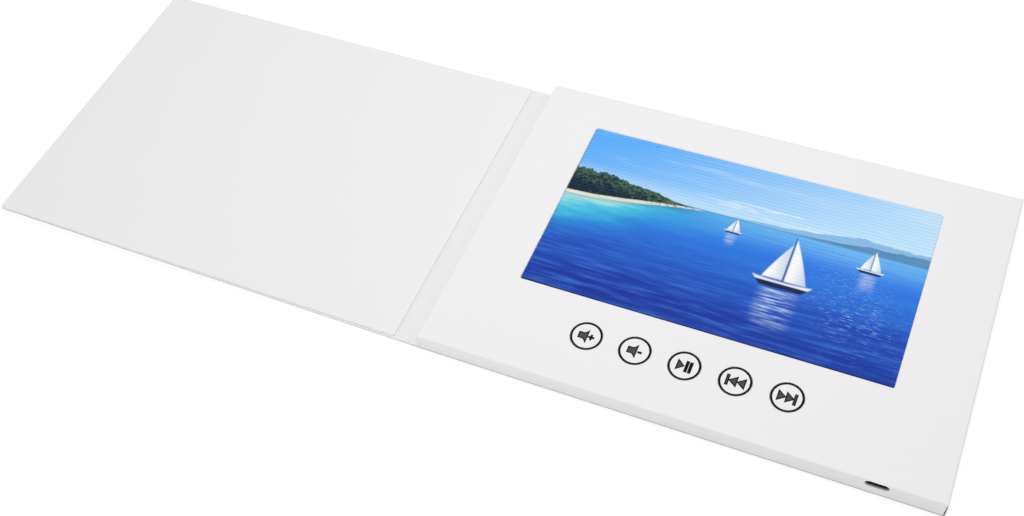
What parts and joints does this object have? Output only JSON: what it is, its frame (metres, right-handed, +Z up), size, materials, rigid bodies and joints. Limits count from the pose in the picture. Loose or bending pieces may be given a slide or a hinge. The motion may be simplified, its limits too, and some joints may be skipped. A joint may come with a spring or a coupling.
{
  "type": "lcd video brochure",
  "caption": "Folded white card brochure: a creased cover opens beside a slim block that holds a landscape screen, a row of round press keys and a charging port.",
  "frame": {"origin": "bottom centre of the open object's box, on the table; it lies 1 mm inside the block's edge beside the spine", "axes": "+X along the open spread from the cover to the block, +Y away from the row of keys, +Z up"},
  "size_m": [0.4222, 0.148, 0.0086],
  "materials": {
    "card_wrap": "matte",
    "card_face": "matte",
    "card_liner": "matte",
    "card_core": "matte",
    "key_card": "matte",
    "foam": "matte",
    "screen": "satin",
    "frame_steel": "satin",
    "light_guide": "gloss",
    "tape": "matte",
    "flex_film": "gloss",
    "circuit_board": "gloss",
    "chip_black": "matte",
    "crystal_can": "satin",
    "connector_plastic": "matte",
    "port_plastic": "matte",
    "switch_plastic": "matte",
    "battery_pouch": "satin",
    "lead_black": "satin",
    "lead_red": "satin",
    "magnet": "satin",
    "speaker_paper": "matte"
  },
  "bodies": {
    "block": {"back_panel": "card_wrap", "face_tray": "card_face", "lower_filler": "foam", "upper_filler": "foam", "lcd_frame": "frame_steel", "lcd_backlight": "light_guide", "lcd_diffuser": "light_guide", "lcd_panel": "screen", "lcd_tape": "tape", "lcd_flex": "flex_film", "lcd_connector": "connector_plastic", "main_board": "circuit_board", "key_board": "circuit_board", "key_ribbon": "flex_film", "ribbon_connectors": "connector_plastic", "processor_chip": "chip_black", "memory_chip": "chip_black", "power_chip": "chip_black", "inductor": "chip_black", "crystal": "crystal_can", "passives": "chip_black", "hall_sensor": "chip_black", "usb_shell": "frame_steel", "usb_tongue": "port_plastic", "switch_bases": "switch_plastic", "switch_plates": "frame_steel", "switch_domes": "frame_steel", "battery_cell": "battery_pouch", "battery_tape": "tape", "battery_circuit": "circuit_board", "battery_lead_black": "lead_black", "battery_lead_red": "lead_red", "speaker_basket": "switch_plastic", "speaker_magnet": "magnet", "speaker_cone": "speaker_paper", "speaker_gasket": "foam", "speaker_leads": "lead_black"},
    "spine": {"spine_sheet": "card_wrap", "crease_block": "card_wrap"},
    "cover": {"cover_sheet": "card_wrap", "crease_cover": "card_wrap", "cover_core": "card_core", "cover_magnet": "magnet", "cover_liner": "card_liner"},
    "volume_up_key": {"key_volume_up": "key_card", "plunger_volume_up": "switch_plastic"},
    "volume_down_key": {"key_volume_down": "key_card", "plunger_volume_down": "switch_plastic"},
    "play_pause_key": {"key_play_pause": "key_card", "plunger_play_pause": "switch_plastic"},
    "previous_key": {"key_previous": "key_card", "plunger_previous": "switch_plastic"},
    "next_key": {"key_next": "key_card", "plunger_next": "switch_plastic"}
  },
  "joints": [
    {"name": "spine_fold", "type": "hinge", "parent": "block", "child": "spine", "pos_m": [0.00095, 0, 0.0005], "axis": [0, 1, 0], "range_deg": [0, 88.65], "deforming": ["crease_block"]},
    {"name": "cover_fold", "type": "hinge", "parent": "spine", "child": "cover", "pos_m": [-0.0081, 0, 0.00071], "axis": [0, 1, 0], "range_deg": [0, 90], "deforming": ["crease_cover"]},
    {"name": "volume_up_press", "type": "slide", "parent": "block", "child": "volume_up_key", "axis": [0, 0, -1], "range_m": [0, 0.00025], "stiffness_N_per_m": 800, "springref_m": -0.0008},
    {"name": "volume_down_press", "type": "slide", "parent": "block", "child": "volume_down_key", "axis": [0, 0, -1], "range_m": [0, 0.00025], "stiffness_N_per_m": 800, "springref_m": -0.0008},
    {"name": "play_pause_press", "type": "slide", "parent": "block", "child": "play_pause_key", "axis": [0, 0, -1], "range_m": [0, 0.00025], "stiffness_N_per_m": 800, "springref_m": -0.0008},
    {"name": "previous_press", "type": "slide", "parent": "block", "child": "previous_key", "axis": [0, 0, -1], "range_m": [0, 0.00025], "stiffness_N_per_m": 800, "springref_m": -0.0008},
    {"name": "next_press", "type": "slide", "parent": "block", "child": "next_key", "axis": [0, 0, -1], "range_m": [0, 0.00025], "stiffness_N_per_m": 800, "springref_m": -0.0008}
  ]
}
